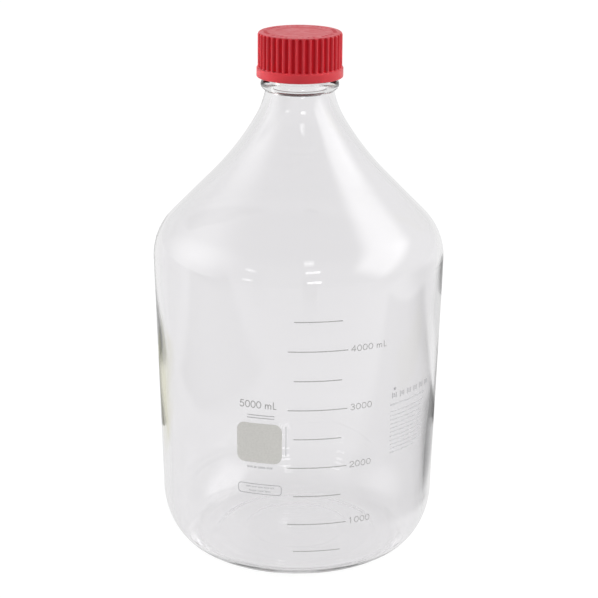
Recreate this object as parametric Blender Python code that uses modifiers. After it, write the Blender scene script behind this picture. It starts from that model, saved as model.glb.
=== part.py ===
"""A five litre laboratory reagent bottle: glass body with a GL 45 thread, pouring ring,
screw cap with a two-layer seal, and the enamel marks that are fired onto the glass.

Metres, +Z up. The origin is the centre of the base, on the plane the bottle stands on,
and the middle of the printed scale faces -Y. The cap is screwed home.
"""

import math

import bmesh
import bpy
from mathutils import Matrix, Vector

MM = 0.001

# --- Driving dimensions, in millimetres -------------------------------------------------

# Glass body, outside
BODY_RADIUS = 91.1  # where the shoulder begins
HEEL_TOP_RADIUS = 86.5  # the wall tapers down to this
FOOT_RADIUS = 58.5  # outer edge of the flat ring it stands on
FOOT_WIDTH = 7.0
HEEL_HEIGHT = 39.0
SHOULDER_Z = 191.2
CONE_ANGLE = 44.5  # degrees from the vertical
SHOULDER_ARC = 36.3  # radius of the bend from the wall into the cone
CONE_LENGTH = 35.3
SWEEP_ARC = 189.0  # radius of the slack bend from the cone up to the neck
SWEEP_ANGLE = 30.3
NECK_ARC = 52.3  # radius of the tighter bend that ends it
NECK_ANGLE = 10.4
COLLAR_Z = 296.5
COLLAR_RADIUS = 24.2
COLLAR_HEIGHT = 6.5
RIM_Z = 325.0
RIM_RADIUS = 19.4  # smooth land above the thread, which the pouring ring clips over
RIM_LAND = 4.5
PUSH_UP = 3.2  # rise of the hollow under the base

# Glass wall
WALL = 3.2
NECK_WALL = 4.4
BORE_RADIUS = 16.0
FLOOR_THICKNESS = 6.0
FLOOR_RADIUS = 66.0  # where the inside floor meets the heel

# Thread, GL 45
PITCH = 4.0
GLASS_ROOT = 20.9
GLASS_CREST = 22.3
GLASS_THREAD_Z = 310.5
GLASS_TURNS = 2.0
CAP_ROOT = 22.9
CAP_CREST = 21.55
CAP_TURNS = 1.5
THREAD_RADIUS = 1.2  # the ridges are round
THREAD_END = 0.3  # what is left of that radius where a ridge runs out, inside its wall
THREAD_FADE = 0.1  # turns over which it runs out

# Screw cap
CAP_TOP_Z = 332.0
CAP_BOTTOM_Z = 304.5
CAP_PLATE = 2.4
RIB_RADIUS = 25.9
BAND_RADIUS = 26.65
BAND_HEIGHT = 5.7
RIB_COUNT = 39
GROOVE_RADIUS = 1.3
GROOVE_DEPTH = 1.6
CAP_EDGE = 1.5  # rounding of the top edge
CAP_RECESS_RADIUS = 15.5
CAP_RECESS_DEPTH = 0.4

# Seal and pouring ring
GAP = 0.2
SEAL_RADIUS = 21.2
SEAL_THICKNESS = 2.2
FACING_THICKNESS = 0.5
RING_RADIUS = 20.7
RING_BORE = 14.4
RING_FLANGE = 0.9
RING_SLEEVE = 9.0  # how far it reaches down the bore
RING_HEM = 3.4  # how far it reaches down outside the rim

# Enamel marks. Arc lengths run to the right round the glass from its -Y line.
INK = 0.2
INK_GAP = 0.15
MARK_VOLUMES = range(500, 5000, 500)
MARK_FIRST_Z = 25.2
MARK_SPACING = 18.75
MARK_WIDTH = 0.75
LONG_MARK = (-6.0, 30.5)
SHORT_MARK = (-2.4, 26.9)
DIGIT_SIZE = 5.1
DIGIT_STRETCH = 1.13
DIGIT_SPACING = 1.25
DIGIT_X = 32.2
DIGIT_DROP = 1.4  # the figures start this far under their line
CAPACITY_SIZE = 5.9
CAPACITY_X = -36.2
CAPACITY_Z = 119.4
TIE = 0.6
PANEL = (-37.6, -9.3, 83.6, 109.4)  # left, right, bottom, top
PANEL_CORNER = 5.0
GRADE_BAR = (-31.0, -14.0, 114.0, 2.2)  # left, right, middle, height, as all bars here
TYPE_BAR = (-31.0, -15.0, 80.4, 2.0)
SIDE_BAR = (-7.4, -6.4, 99.0, 19.0)
CODE_FRAME = (-37.0, -9.3, 62.8, 69.6)
CODE_CORNER = 2.2
CODE_LINE = 0.6
CODE_UPPER_BAR = (-33.0, -13.5, 67.5, 1.1)
CODE_LOWER_BAR = (-31.0, -15.5, 64.9, 1.1)
NOTICE_DOT = (64.6, 126.4)
NOTICE_DOT_RADIUS = 1.5
NOTICE_HEADING = (61.5, 100.0, 121.3, 3.8)
NOTICE_LEFT = 61.0
NOTICE_RIGHT = 96.0
NOTICE_TOP = 114.8
NOTICE_RULE = 0.6
NOTICE_ROWS = 12
NOTICE_PITCH = 2.75
NOTICE_LINE = 1.0
INK_STEP = 5.0  # longest straight stretch of a mark round the glass

GLASS_STEPS = 48
FINE_STEPS = 40


# --- Small helpers ----------------------------------------------------------------------


def clear_scene():
    for old in list(bpy.data.objects):
        bpy.data.objects.remove(old, do_unlink=True)


def new_collection(name, hidden=False):
    collection = bpy.data.collections.new(name)
    bpy.context.scene.collection.children.link(collection)
    collection.hide_render = hidden
    return collection


def material(name, colour, roughness, transmission=0.0):
    made = bpy.data.materials.new(name)
    made.use_nodes = True
    shader = made.node_tree.nodes["Principled BSDF"]
    shader.inputs["Base Color"].default_value = (*colour, 1.0)
    shader.inputs["Roughness"].default_value = roughness
    shader.inputs["Metallic"].default_value = 0.0
    shader.inputs["Transmission Weight"].default_value = transmission
    return made


def add_mesh(name, mesh, finish, collection):
    made = bpy.data.objects.new(name, mesh)
    if finish:
        mesh.materials.clear()
        mesh.materials.append(finish)
    collection.objects.link(made)
    return made


def add_cutter(name, mesh, helpers):
    made = add_mesh(name, mesh, None, helpers)
    made.hide_render = True
    made.display_type = "WIRE"
    return made


def arc(centre, radius, start, end, steps):
    """Points (r, z) on an arc, its angles measured from +r towards +z."""
    points = []
    for i in range(steps + 1):
        angle = start + (end - start) * i / steps
        points.append((centre[0] + radius * math.cos(angle), centre[1] + radius * math.sin(angle)))
    return points


def profile_mesh(name, profile, closed):
    """A mesh of edges through (r, z) in millimetres, in the XZ plane."""
    points = [(r * MM, 0.0, z * MM) for r, z in profile]
    edges = [(i, i + 1) for i in range(len(points) - 1)]
    if closed:
        edges.append((len(points) - 1, 0))
    mesh = bpy.data.meshes.new(name)
    mesh.from_pydata(points, edges, [])
    return mesh


def turned(name, profile, finish, collection, steps, closed=False):
    """A solid of revolution about Z. The profile runs down its outer side."""
    made = add_mesh(name, profile_mesh(name, profile, closed), finish, collection)
    screw = made.modifiers.new("Turn", "SCREW")
    screw.axis = "Z"
    screw.steps = steps
    screw.render_steps = steps
    screw.use_merge_vertices = True
    screw.merge_threshold = 0.00001
    screw.use_normal_calculate = False
    return made


def boolean(target, other, operation):
    cut = target.modifiers.new(operation.title(), "BOOLEAN")
    cut.object = other
    cut.operation = operation
    cut.solver = "EXACT"


def mesh_of_curve(curve, helpers):
    """The solid of a curve or text, as a welded mesh. The curve itself goes."""
    drawn = bpy.data.objects.new(curve.name, curve)
    helpers.objects.link(drawn)
    graph = bpy.context.evaluated_depsgraph_get()
    mesh = bpy.data.meshes.new_from_object(drawn.evaluated_get(graph))
    bpy.data.objects.remove(drawn)
    shape = bmesh.new()
    shape.from_mesh(mesh)
    widest = max(max(v.co) for v in shape.verts)
    bmesh.ops.remove_doubles(shape, verts=shape.verts, dist=widest * 1e-5)
    bmesh.ops.recalc_face_normals(shape, faces=shape.faces)
    shape.to_mesh(mesh)
    shape.free()
    return mesh


def thread_ridge(name, root, crest, bottom_z, turns, helpers):
    """A right-handed round ridge, which runs out into its wall at both ends."""
    outward = 1.0 if crest > root else -1.0
    count = round(turns * GLASS_STEPS)
    curve = bpy.data.curves.new(name, "CURVE")
    curve.dimensions = "3D"
    curve.bevel_depth = THREAD_RADIUS * MM
    curve.bevel_resolution = 2
    curve.use_fill_caps = True
    spline = curve.splines.new("POLY")
    spline.points.add(count)
    for i, point in enumerate(spline.points):
        along = i / GLASS_STEPS
        height = min(1.0, along / THREAD_FADE, (turns - along) / THREAD_FADE)
        centre = root - outward * THREAD_END * 1.5
        centre += (crest - outward * THREAD_RADIUS - centre) * height
        turn = 2 * math.pi * along
        z = bottom_z + PITCH * along
        point.co = (centre * math.cos(turn) * MM, centre * math.sin(turn) * MM, z * MM, 1.0)
        point.radius = (THREAD_END + (THREAD_RADIUS - THREAD_END) * height) / THREAD_RADIUS
    return add_cutter(name, mesh_of_curve(curve, helpers), helpers)


# --- Glass body -------------------------------------------------------------------------


def wall_radius(z):
    """Outer radius of the tapered wall between heel and shoulder."""
    share = (z - HEEL_HEIGHT) / (SHOULDER_Z - HEEL_HEIGHT)
    if share >= 0:
        return HEEL_TOP_RADIUS + (BODY_RADIUS - HEEL_TOP_RADIUS) * share
    drop = 1 - z / HEEL_HEIGHT
    return FOOT_RADIUS + (HEEL_TOP_RADIUS - FOOT_RADIUS) * math.sqrt(1 - drop * drop)


def shoulder_and_neck(thickness, neck_thickness):
    """The curve from the top of the wall to the collar, moved in by the glass thickness.

    It is a bend, a cone and two slacker bends the other way. Each bend is (radius, angle
    from the vertical where it ends, steps); a cone's angle stays as it is.
    """
    bends = [(SHOULDER_ARC, CONE_ANGLE, 6), (-SWEEP_ARC, SWEEP_ANGLE, 3), (-NECK_ARC, NECK_ANGLE, 4)]
    r, z, angle = BODY_RADIUS, SHOULDER_Z, 0.0
    path = [(r, z, angle)]
    for radius, end, steps in bends:
        end = math.radians(end)
        for i in range(1, steps + 1):
            turned_to = angle + (end - angle) * i / steps
            across = radius * (math.cos(angle) - math.cos(turned_to))
            along = radius * (math.sin(turned_to) - math.sin(angle))
            path.append((r - across, z + along, turned_to))
        r, z, angle = path[-1]
        if radius > 0:
            r -= CONE_LENGTH * math.sin(angle)
            z += CONE_LENGTH * math.cos(angle)
            path.append((r, z, angle))
    points = []
    for r, z, angle in path:
        share = (z - SHOULDER_Z) / (COLLAR_Z - SHOULDER_Z)
        depth = thickness + (neck_thickness - thickness) * share
        points.append((r - depth * math.cos(angle), z - depth * math.sin(angle)))
    return points


def heel(inner_radius, outer_radius, bottom_z, steps):
    """A quarter of an ellipse from a ring on the base up to the wall."""
    points = []
    for i in range(steps + 1):
        turn = math.pi / 2 * i / steps
        radius = inner_radius + (outer_radius - inner_radius) * math.sin(turn)
        points.append((radius, bottom_z + (HEEL_HEIGHT - bottom_z) * (1 - math.cos(turn))))
    return points


def inner_wall():
    """The inside of the bottle, from the middle of the floor up to the rim."""
    inside = [(0.0, PUSH_UP + FLOOR_THICKNESS), (FLOOR_RADIUS / 2, PUSH_UP / 2 + FLOOR_THICKNESS)]
    inside += heel(FLOOR_RADIUS, HEEL_TOP_RADIUS - WALL, FLOOR_THICKNESS, 6)
    inside += shoulder_and_neck(WALL, NECK_WALL)
    inside += [(BORE_RADIUS, COLLAR_Z + 5.0), (BORE_RADIUS, RIM_Z - 1.0)]
    return inside


def outer_wall():
    """The outside of the bottle, from the rim down to the middle of the base."""
    middle = (RIM_RADIUS + BORE_RADIUS) / 2
    half = (RIM_RADIUS - BORE_RADIUS) / 2
    outside = [(middle - half * 0.6, RIM_Z), (middle + half * 0.6, RIM_Z)]
    outside += [(RIM_RADIUS, RIM_Z - 0.8), (RIM_RADIUS, RIM_Z - RIM_LAND)]
    outside += [(GLASS_ROOT, RIM_Z - RIM_LAND - 1.2), (GLASS_ROOT, COLLAR_Z + COLLAR_HEIGHT)]
    round_off = COLLAR_RADIUS - GLASS_ROOT
    collar = arc(
        (GLASS_ROOT, COLLAR_Z + COLLAR_HEIGHT / 2), round_off, math.radians(65), math.radians(-55), 6
    )
    outside += [(r, z) for r, z in collar]
    outside += reversed(shoulder_and_neck(0.0, 0.0))
    outside += reversed(heel(FOOT_RADIUS, HEEL_TOP_RADIUS, 0.0, 6))
    inner_foot = FOOT_RADIUS - FOOT_WIDTH
    outside += [(inner_foot, 0.0), (inner_foot - 5.0, 1.0), (inner_foot * 0.5, PUSH_UP * 0.85)]
    outside.append((0.0, PUSH_UP))
    return outside


def build_bottle(parts, helpers):
    glass = material("borosilicate_glass", (0.93, 0.95, 0.95), 0.02, transmission=1.0)
    body = turned("bottle_body", inner_wall() + outer_wall(), glass, parts, GLASS_STEPS)
    ridge = thread_ridge("glass_thread", GLASS_ROOT, GLASS_CREST, GLASS_THREAD_Z, GLASS_TURNS, helpers)
    boolean(body, ridge, "UNION")
    return body


# --- Pouring ring, seal and cap ---------------------------------------------------------


def build_pour_ring(parts):
    """A clip-on ring: a sleeve in the bore, a flange over the rim and a hem with a sharp lip."""
    plastic = material("pour_ring_plastic", (0.75, 0.10, 0.08), 0.35)
    top = RIM_Z + GAP + RING_FLANGE
    under = RIM_Z + GAP
    profile = [
        (RING_BORE + 0.4, top),
        (RING_RADIUS, top),
        (RING_RADIUS - 0.2, top - 0.9),
        (RING_RADIUS - 0.4, RIM_Z - RING_HEM),
        (RIM_RADIUS + GAP, RIM_Z - RING_HEM),
        (RIM_RADIUS + GAP, under),
        (BORE_RADIUS - GAP, under),
        (BORE_RADIUS - GAP - 0.5, RIM_Z - RING_SLEEVE),
        (RING_BORE + 0.3, RIM_Z - RING_SLEEVE),
        (RING_BORE, RIM_Z - 1.0),
    ]
    return turned("pour_ring", profile, plastic, parts, FINE_STEPS, closed=True)


def build_seal(parts):
    """The soft disc under the cap's plate and the thin inert film on the bottle's side of it."""
    silicone = material("seal_silicone", (0.55, 0.06, 0.05), 0.6)
    film = material("seal_facing_ptfe", (0.85, 0.84, 0.80), 0.4)
    top = CAP_TOP_Z - CAP_PLATE - GAP
    bottom = top - SEAL_THICKNESS
    disc = [(0.0, top), (SEAL_RADIUS - 0.3, top), (SEAL_RADIUS, top - 0.3)]
    disc += [(SEAL_RADIUS, bottom), (0.0, bottom)]
    turned("seal_disc", disc, silicone, parts, FINE_STEPS)
    film_top = bottom - GAP / 2
    facing = [(0.0, film_top), (SEAL_RADIUS, film_top)]
    facing += [(SEAL_RADIUS, film_top - FACING_THICKNESS), (0.0, film_top - FACING_THICKNESS)]
    turned("seal_facing", facing, film, parts, FINE_STEPS)


def groove_cutter(helpers):
    """One upright round rod for each groove between the cap's ribs."""
    bottom = CAP_BOTTOM_Z + BAND_HEIGHT
    top = CAP_TOP_Z - CAP_EDGE - 0.6
    reach = RIB_RADIUS - GROOVE_DEPTH + GROOVE_RADIUS
    shape = bmesh.new()
    for i in range(RIB_COUNT):
        turn = 2 * math.pi * i / RIB_COUNT
        place = Matrix.Rotation(turn, 4, "Z") @ Matrix.Translation(
            Vector((0.0, -reach * MM, (bottom + top) / 2 * MM))
        )
        bmesh.ops.create_cone(
            shape,
            cap_ends=True,
            segments=8,
            radius1=GROOVE_RADIUS * MM,
            radius2=GROOVE_RADIUS * MM,
            depth=(top - bottom) * MM,
            matrix=place,
        )
    mesh = bpy.data.meshes.new("cap_grooves")
    shape.to_mesh(mesh)
    shape.free()
    return add_cutter("cap_grooves", mesh, helpers)


def build_cap(parts, helpers):
    plastic = material("cap_plastic", (0.58, 0.035, 0.045), 0.42)
    band_top = CAP_BOTTOM_Z + BAND_HEIGHT
    floor = CAP_TOP_Z - CAP_RECESS_DEPTH
    profile = [(0.0, floor), (CAP_RECESS_RADIUS - 0.5, floor), (CAP_RECESS_RADIUS, CAP_TOP_Z)]
    edge = arc((RIB_RADIUS - CAP_EDGE, CAP_TOP_Z - CAP_EDGE), CAP_EDGE, math.pi / 2, 0.0, 3)
    profile += edge
    profile += [(RIB_RADIUS, band_top + 0.3), (BAND_RADIUS - 0.3, band_top - 0.1)]
    profile += [(BAND_RADIUS, band_top - 0.5), (BAND_RADIUS, CAP_BOTTOM_Z + 0.5)]
    profile += [(BAND_RADIUS - 0.5, CAP_BOTTOM_Z), (CAP_ROOT + 1.0, CAP_BOTTOM_Z)]
    profile += [(CAP_ROOT, CAP_BOTTOM_Z + 1.6), (CAP_ROOT, CAP_TOP_Z - CAP_PLATE)]
    profile.append((0.0, CAP_TOP_Z - CAP_PLATE))
    cap = turned("screw_cap", profile, plastic, parts, GLASS_STEPS)
    start = GLASS_THREAD_Z - PITCH / 2
    ridge = thread_ridge("cap_thread", CAP_ROOT, CAP_CREST, start, CAP_TURNS, helpers)
    boolean(cap, ridge, "UNION")
    boolean(cap, groove_cutter(helpers), "DIFFERENCE")
    return cap


# --- Enamel marks -----------------------------------------------------------------------


def bar(left, right, z, height):
    return [(left, z - height / 2), (right, z - height / 2), (right, z + height / 2), (left, z + height / 2)]


def rounded_box(left, right, bottom, top, corner, steps=4):
    """Outline of a box with round corners, anticlockwise."""
    outline = []
    corners = [(right, top, 0), (left, top, 1), (left, bottom, 2), (right, bottom, 3)]
    for x, z, quarter in corners:
        cx = x - corner if quarter in (0, 3) else x + corner
        cz = z - corner if quarter in (0, 1) else z + corner
        start = quarter * math.pi / 2
        outline += arc((cx, cz), corner, start, start + math.pi / 2, steps)
    return outline


def comb(spine_left, spine_right, ends, top, pitch, height):
    """Outline of an upright line with one short line after another on its right."""
    outline = [(spine_right, top + height / 2), (spine_left, top + height / 2)]
    bottom = top - pitch * (len(ends) - 1) - height / 2
    outline += [(spine_left, bottom), (spine_right, bottom)]
    for row in reversed(range(len(ends))):
        z = top - pitch * row
        outline += [
            (spine_right, z - height / 2),
            (ends[row], z - height / 2),
            (ends[row], z + height / 2),
            (spine_right, z + height / 2),
        ]
    return list(dict.fromkeys(outline))


def flat_ink(outlines, helpers):
    """Ink of full thickness inside closed outlines; one outline in another is a hole.

    Flat marks are drawn with one unit to a millimetre.
    """
    curve = bpy.data.curves.new("ink", "CURVE")
    curve.dimensions = "2D"
    curve.fill_mode = "BOTH"
    curve.extrude = INK / 2
    for outline in outlines:
        spline = curve.splines.new("POLY")
        spline.points.add(len(outline) - 1)
        spline.use_cyclic_u = True
        for point, (x, z) in zip(spline.points, outline):
            point.co = (x, z, 0.0, 1.0)
    return stood_up(mesh_of_curve(curve, helpers), 0.0, 0.0, 1.0)


def stood_up(mesh, x, z, stretch):
    """Stands flat ink up to face -Y, with its outer face on y = 0."""
    place = Matrix.Translation(Vector((x, INK / 2, z))) @ Matrix.Scale(stretch, 4, Vector((1, 0, 0)))
    mesh.transform(place @ Matrix.Rotation(math.pi / 2, 4, "X"))
    return mesh


def written_ink(text, x, z, size, stretch, helpers):
    """Figures of ink. A tie along their feet holds one number together as one piece."""
    curve = bpy.data.curves.new("figures", "FONT")
    curve.body = text
    curve.size = size
    curve.space_character = DIGIT_SPACING
    curve.extrude = INK / 2
    curve.resolution_u = 2
    figures = add_cutter("figures", stood_up(mesh_of_curve(curve, helpers), x, z, stretch), helpers)
    right = max(v.co.x for v in figures.data.vertices)
    tie_mesh = flat_ink([bar(x + size * 0.2, right - size * 0.1, z + TIE / 4, TIE)], helpers)
    boolean(figures, add_cutter("tie", tie_mesh, helpers), "UNION")
    figures.modifiers["Union"].use_self = True
    graph = bpy.context.evaluated_depsgraph_get()
    return bpy.data.meshes.new_from_object(figures.evaluated_get(graph))


def enamel_node(name, mesh, finish, parts):
    """Cuts flat ink into short stretches and bends it round the tapered wall."""
    shape = bmesh.new()
    shape.from_mesh(mesh)
    bmesh.ops.triangulate(shape, faces=shape.faces)
    left = min(v.co.x for v in shape.verts)
    right = max(v.co.x for v in shape.verts)
    stretches = math.ceil((right - left) / INK_STEP)
    for i in range(1, stretches):
        position = left + (right - left) * i / stretches
        everything = shape.verts[:] + shape.edges[:] + shape.faces[:]
        bmesh.ops.bisect_plane(
            shape, geom=everything, dist=0.0005, plane_co=(position, 0, 0), plane_no=(1, 0, 0)
        )
    for v in shape.verts:
        surface = wall_radius(v.co.z) + INK_GAP
        turn = v.co.x / surface
        radius = surface + INK - v.co.y
        v.co = Vector((radius * math.sin(turn), -radius * math.cos(turn), v.co.z)) * MM
    bmesh.ops.recalc_face_normals(shape, faces=shape.faces)
    shape.to_mesh(mesh)
    shape.free()
    return add_mesh(name, mesh, finish, parts)


def mark_z(volume):
    return MARK_FIRST_Z + MARK_SPACING * (volume / 500 - 1)


def build_scale(ink, parts, helpers):
    for volume in MARK_VOLUMES:
        left, right = LONG_MARK if volume % 1000 == 0 else SHORT_MARK
        line = flat_ink([bar(left, right, mark_z(volume), MARK_WIDTH)], helpers)
        enamel_node(f"scale_line_{volume:04d}", line, ink, parts)
        if volume % 1000 == 0:
            text = f"{volume} mL" if volume == 4000 else str(volume)
            z = mark_z(volume) - DIGIT_DROP
            figures = written_ink(text, DIGIT_X, z, DIGIT_SIZE, DIGIT_STRETCH, helpers)
            enamel_node(f"scale_number_{volume}", figures, ink, parts)
    capacity = written_ink("5000 mL", CAPACITY_X, CAPACITY_Z, CAPACITY_SIZE, 1.0, helpers)
    enamel_node("capacity_mark", capacity, ink, parts)


def build_panel(ink, parts, helpers):
    """The matt field to write on, a bar above and below it, and an upright bar beside it."""
    grey = material("panel_enamel", (0.55, 0.54, 0.51), 0.6)
    field = flat_ink([rounded_box(*PANEL, PANEL_CORNER)], helpers)
    enamel_node("writing_panel", field, grey, parts)
    enamel_node("grade_bar", flat_ink([bar(*GRADE_BAR)], helpers), ink, parts)
    enamel_node("type_bar", flat_ink([bar(*TYPE_BAR)], helpers), ink, parts)
    enamel_node("side_bar", flat_ink([bar(*SIDE_BAR)], helpers), ink, parts)


def build_code_frame(ink, parts, helpers):
    """A round-cornered outline round two short bars."""
    left, right, bottom, top = CODE_FRAME
    outer = rounded_box(left, right, bottom, top, CODE_CORNER)
    inset = (left + CODE_LINE, right - CODE_LINE, bottom + CODE_LINE, top - CODE_LINE)
    inner = rounded_box(*inset, CODE_CORNER - CODE_LINE)
    enamel_node("code_frame", flat_ink([outer, inner], helpers), ink, parts)
    enamel_node("code_bar_upper", flat_ink([bar(*CODE_UPPER_BAR)], helpers), ink, parts)
    enamel_node("code_bar_lower", flat_ink([bar(*CODE_LOWER_BAR)], helpers), ink, parts)


def build_notice(ink, parts, helpers):
    """A dot, a heading bar and a block of short lines beside an upright rule."""
    dot_sides = 12
    dot = arc(NOTICE_DOT, NOTICE_DOT_RADIUS, 0.0, 2 * math.pi * (dot_sides - 1) / dot_sides, dot_sides - 1)
    enamel_node("notice_dot", flat_ink([dot], helpers), ink, parts)
    enamel_node("notice_heading", flat_ink([bar(*NOTICE_HEADING)], helpers), ink, parts)
    ends = [NOTICE_RIGHT - (3.0 if row % 3 == 1 else 0.0) for row in range(NOTICE_ROWS)]
    ends[-1] -= 10.0
    spine = NOTICE_LEFT + NOTICE_RULE
    lines = comb(NOTICE_LEFT, spine, ends, NOTICE_TOP, NOTICE_PITCH, NOTICE_LINE)
    enamel_node("notice_lines", flat_ink([lines], helpers), ink, parts)


def build_marks(parts, helpers):
    ink = material("grey_enamel", (0.36, 0.36, 0.36), 0.5)
    build_scale(ink, parts, helpers)
    build_panel(ink, parts, helpers)
    build_code_frame(ink, parts, helpers)
    build_notice(ink, parts, helpers)


def main():
    clear_scene()
    parts = new_collection("reagent_bottle")
    helpers = new_collection("helpers", hidden=True)
    build_bottle(parts, helpers)
    build_pour_ring(parts)
    build_seal(parts)
    build_cap(parts, helpers)
    build_marks(parts, helpers)


main()
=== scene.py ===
"""The looks of a five litre laboratory reagent bottle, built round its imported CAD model.

The bottle's own lengths are in millimetres and degrees, as in the CAD part, and the studio's are
in metres and degrees. The bottle stands on z = 0, its scale faces -Y, and its cap is screwed home.
"""

import math

import bmesh
import bpy
from mathutils import Matrix, Vector


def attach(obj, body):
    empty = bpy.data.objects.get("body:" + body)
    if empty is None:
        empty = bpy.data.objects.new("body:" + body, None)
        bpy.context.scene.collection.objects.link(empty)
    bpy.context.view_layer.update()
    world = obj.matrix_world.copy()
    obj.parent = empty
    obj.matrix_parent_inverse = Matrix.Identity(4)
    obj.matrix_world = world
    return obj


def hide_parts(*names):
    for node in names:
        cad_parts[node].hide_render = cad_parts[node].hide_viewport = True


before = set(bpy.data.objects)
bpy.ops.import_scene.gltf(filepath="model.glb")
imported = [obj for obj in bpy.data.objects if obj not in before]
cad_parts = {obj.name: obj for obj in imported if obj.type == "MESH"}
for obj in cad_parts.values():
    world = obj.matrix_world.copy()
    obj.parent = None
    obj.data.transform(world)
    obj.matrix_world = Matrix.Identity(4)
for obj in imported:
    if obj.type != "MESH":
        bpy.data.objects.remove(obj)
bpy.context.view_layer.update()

MM = 0.001

# --- The object's own sizes: the CAD part's, and the finer ones that only show here ------

BODY_RADIUS = 91.1
HEEL_TOP_RADIUS = 86.5
FOOT_RADIUS = 58.5
HEEL_HEIGHT = 39.0
SHOULDER_Z = 191.2
CONE_ANGLE = 44.5
SHOULDER_ARC = 36.3
CONE_LENGTH = 35.3
SWEEP_ARC = 189.0
SWEEP_ANGLE = 30.3
NECK_ARC = 52.3
NECK_ANGLE = 10.4
COLLAR_Z = 296.5
COLLAR_RADIUS = 24.2
COLLAR_HEIGHT = 6.5
RIM_Z = 325.0
RIM_RADIUS = 19.4
RIM_LAND = 4.5
PUSH_UP = 3.2
PUSH_UP_FLAT = 8.0
FOOT_WIDTH = 5.0
FOOT_LIP = 0.6
FOOT_LIP_WIDTH = 6.0
BASE_BEAD = (32.0, 1.8, 0.12)  # radius, half width and height
FLOOR_BEAD = (60.0, 4.0, 0.12)
WALL = 3.2
HEEL_WALL = 4.2
FLOOR_RADIUS = 66.0
NECK_WALL = 4.4
WAVINESS = 0.09
BORE_RADIUS = 16.0
FLOOR_THICKNESS = 6.0

PITCH = 4.0
GLASS_ROOT = 20.9
GLASS_CREST = 22.3
GLASS_THREAD_Z = 310.5
GLASS_TURNS = 2.0
CAP_ROOT = 22.9
CAP_CREST = 21.55
CAP_TURNS = 1.5
THREAD_RADIUS = 1.2
THREAD_FADE = 0.12

CAP_TOP_Z = 332.0
CAP_BOTTOM_Z = 304.5
CAP_PLATE = 2.4
RIB_RADIUS = 25.9
BAND_RADIUS = 26.65
BAND_HEIGHT = 5.7
RIB_COUNT = 39
GROOVE_DEPTH = 1.6
GROOVE_HALF_WIDTH = 1.95
GROOVE_BED = 0.40
CAP_EDGE = 1.5
STUD_COUNT = 40
STUD_GAPS = (3, 8)  # places left empty in every ten
STUD_WIDTH = 2.3
STUD_HEIGHT = 0.25
STUD_RING = 21.2
CAP_RECESS_RADIUS = 15.5
CAP_RECESS_DEPTH = 0.4

GAP = 0.2
SEAL_RADIUS = 21.2
SEAL_THICKNESS = 2.2
FACING_THICKNESS = 0.5
RING_RADIUS = 20.7
RING_BORE = 14.4
RING_FLANGE = 0.9
RING_SLEEVE = 9.0
RING_HEM = 3.4

# --- Enamel. Arc lengths run to the right round the glass from its -Y line. --------------

INK_LIFT = 0.03
INK_THICKNESS = 0.05
INK_STEP = 1.5
MARK_VOLUMES = range(500, 5000, 500)
MARK_FIRST_Z = 25.2
MARK_SPACING = 18.75
MARK_WIDTH = 0.62
LONG_MARK = (-6.0, 30.5)
SHORT_MARK = (-2.4, 26.9)
DIGIT_X = 32.6
DIGIT_DROP = 1.4
DIGIT_HEIGHT = 3.6
DIGIT_WIDTH = 2.75
DIGIT_PITCH = 3.8
STROKE = 0.5
CAPACITY_X = -35.6
CAPACITY_Z = 119.4
CAPACITY_HEIGHT = 4.2
CAPACITY_WIDTH = 2.7
CAPACITY_PITCH = 3.55
CAPACITY_STROKE = 0.58
PANEL = (-37.6, -9.3, 83.6, 109.4)  # left, right, bottom and top
PANEL_CORNER = 5.0
GRADE_BAR = (-31.0, -14.0)
GRADE_BAR_ROWS = (114.6, 112.9)
GRADE_BAR_HEIGHT = 0.6
TYPE_BAR = (-31.0, -15.0, 80.6, 1.2)  # left, right, middle height and thickness
SIDE_BAR = (-7.2, -6.6, 99.0, 19.0)
CODE_FRAME = (-37.0, -9.3, 62.8, 69.6)  # left, right, bottom and top
CODE_CORNER = 2.2
CODE_RIM = 0.5
CODE_BAR_UPPER = (-32.0, -14.0, 67.5, 0.8)
CODE_BAR_LOWER = (-30.0, -16.0, 64.9, 0.8)
NOTICE_LEFT = 61.0
NOTICE_RIGHT = 95.0
NOTICE_DOT = (64.6, 125.6)
NOTICE_DOT_RADIUS = 1.1
NOTICE_HEADING_Z = 121.2
NOTICE_MARKS = 6
NOTICE_MARK_PITCH = 6.7
NOTICE_STROKES = ((0.0, 3.8), (1.5, 2.5), (3.0, 3.3))  # place and height of each stroke of a mark
NOTICE_TOP = 115.4
NOTICE_ROWS = 11
NOTICE_PITCH = 2.7

GLASS_SEGMENTS = 256
CAP_SEGMENTS = RIB_COUNT * 20
SMALL_SEGMENTS = 144
BASE_STEPS = 106
FLOOR_STEPS = 66

# --- Colours and the glass's index of refraction ----------------------------------------

WALL_TINT = (0.972, 0.966, 0.975)
NECK_TINT = (0.985, 0.985, 0.985)
GLASS_INDEX = 1.473
CAP_RED = (0.50, 0.030, 0.045)
# Painted light on the cap: a darker red as painted shade in the grooves, paler reds as painted highlights
# on the ribs and the top.
GROOVE_SHADE_RED = (0.50, 0.006, 0.014)
RIB_HIGHLIGHT_RED = (0.56, 0.024, 0.036)
LID_HIGHLIGHT_RED = (0.52, 0.042, 0.056)

# --- The studio, in metres and degrees. Brightness is against a white floor. --------------

STAGE_RADIUS = 14.0
STAGE_DROP = 0.0002
BACKDROP = 0.80  # the floor and the room as the glass shows them
FLOOR_GLOW = 0.95
FLOOR_IN_FRONT = 0.60
SHADE_OF_BOTTLE = 0.97
# Patches on the floor: middle, half width and half depth, and soft edge.
DARK_CARD = ((0.35, 0.02), (0.24, 0.24), 0.05)
DARK_CARD_GLOW = 0.28
GREY_CARD = ((0.27, 0.47), (0.17, 0.18), 0.08)
GREY_CARD_GLOW = 0.82
WARM_CARD = ((-0.22, 0.24), (0.08, 0.15), 0.04)
WARM = (0.86, 0.85, 0.70)
ROOM_IN_FRONT = 0.50
ROOM_ABOVE = 0.35
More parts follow.
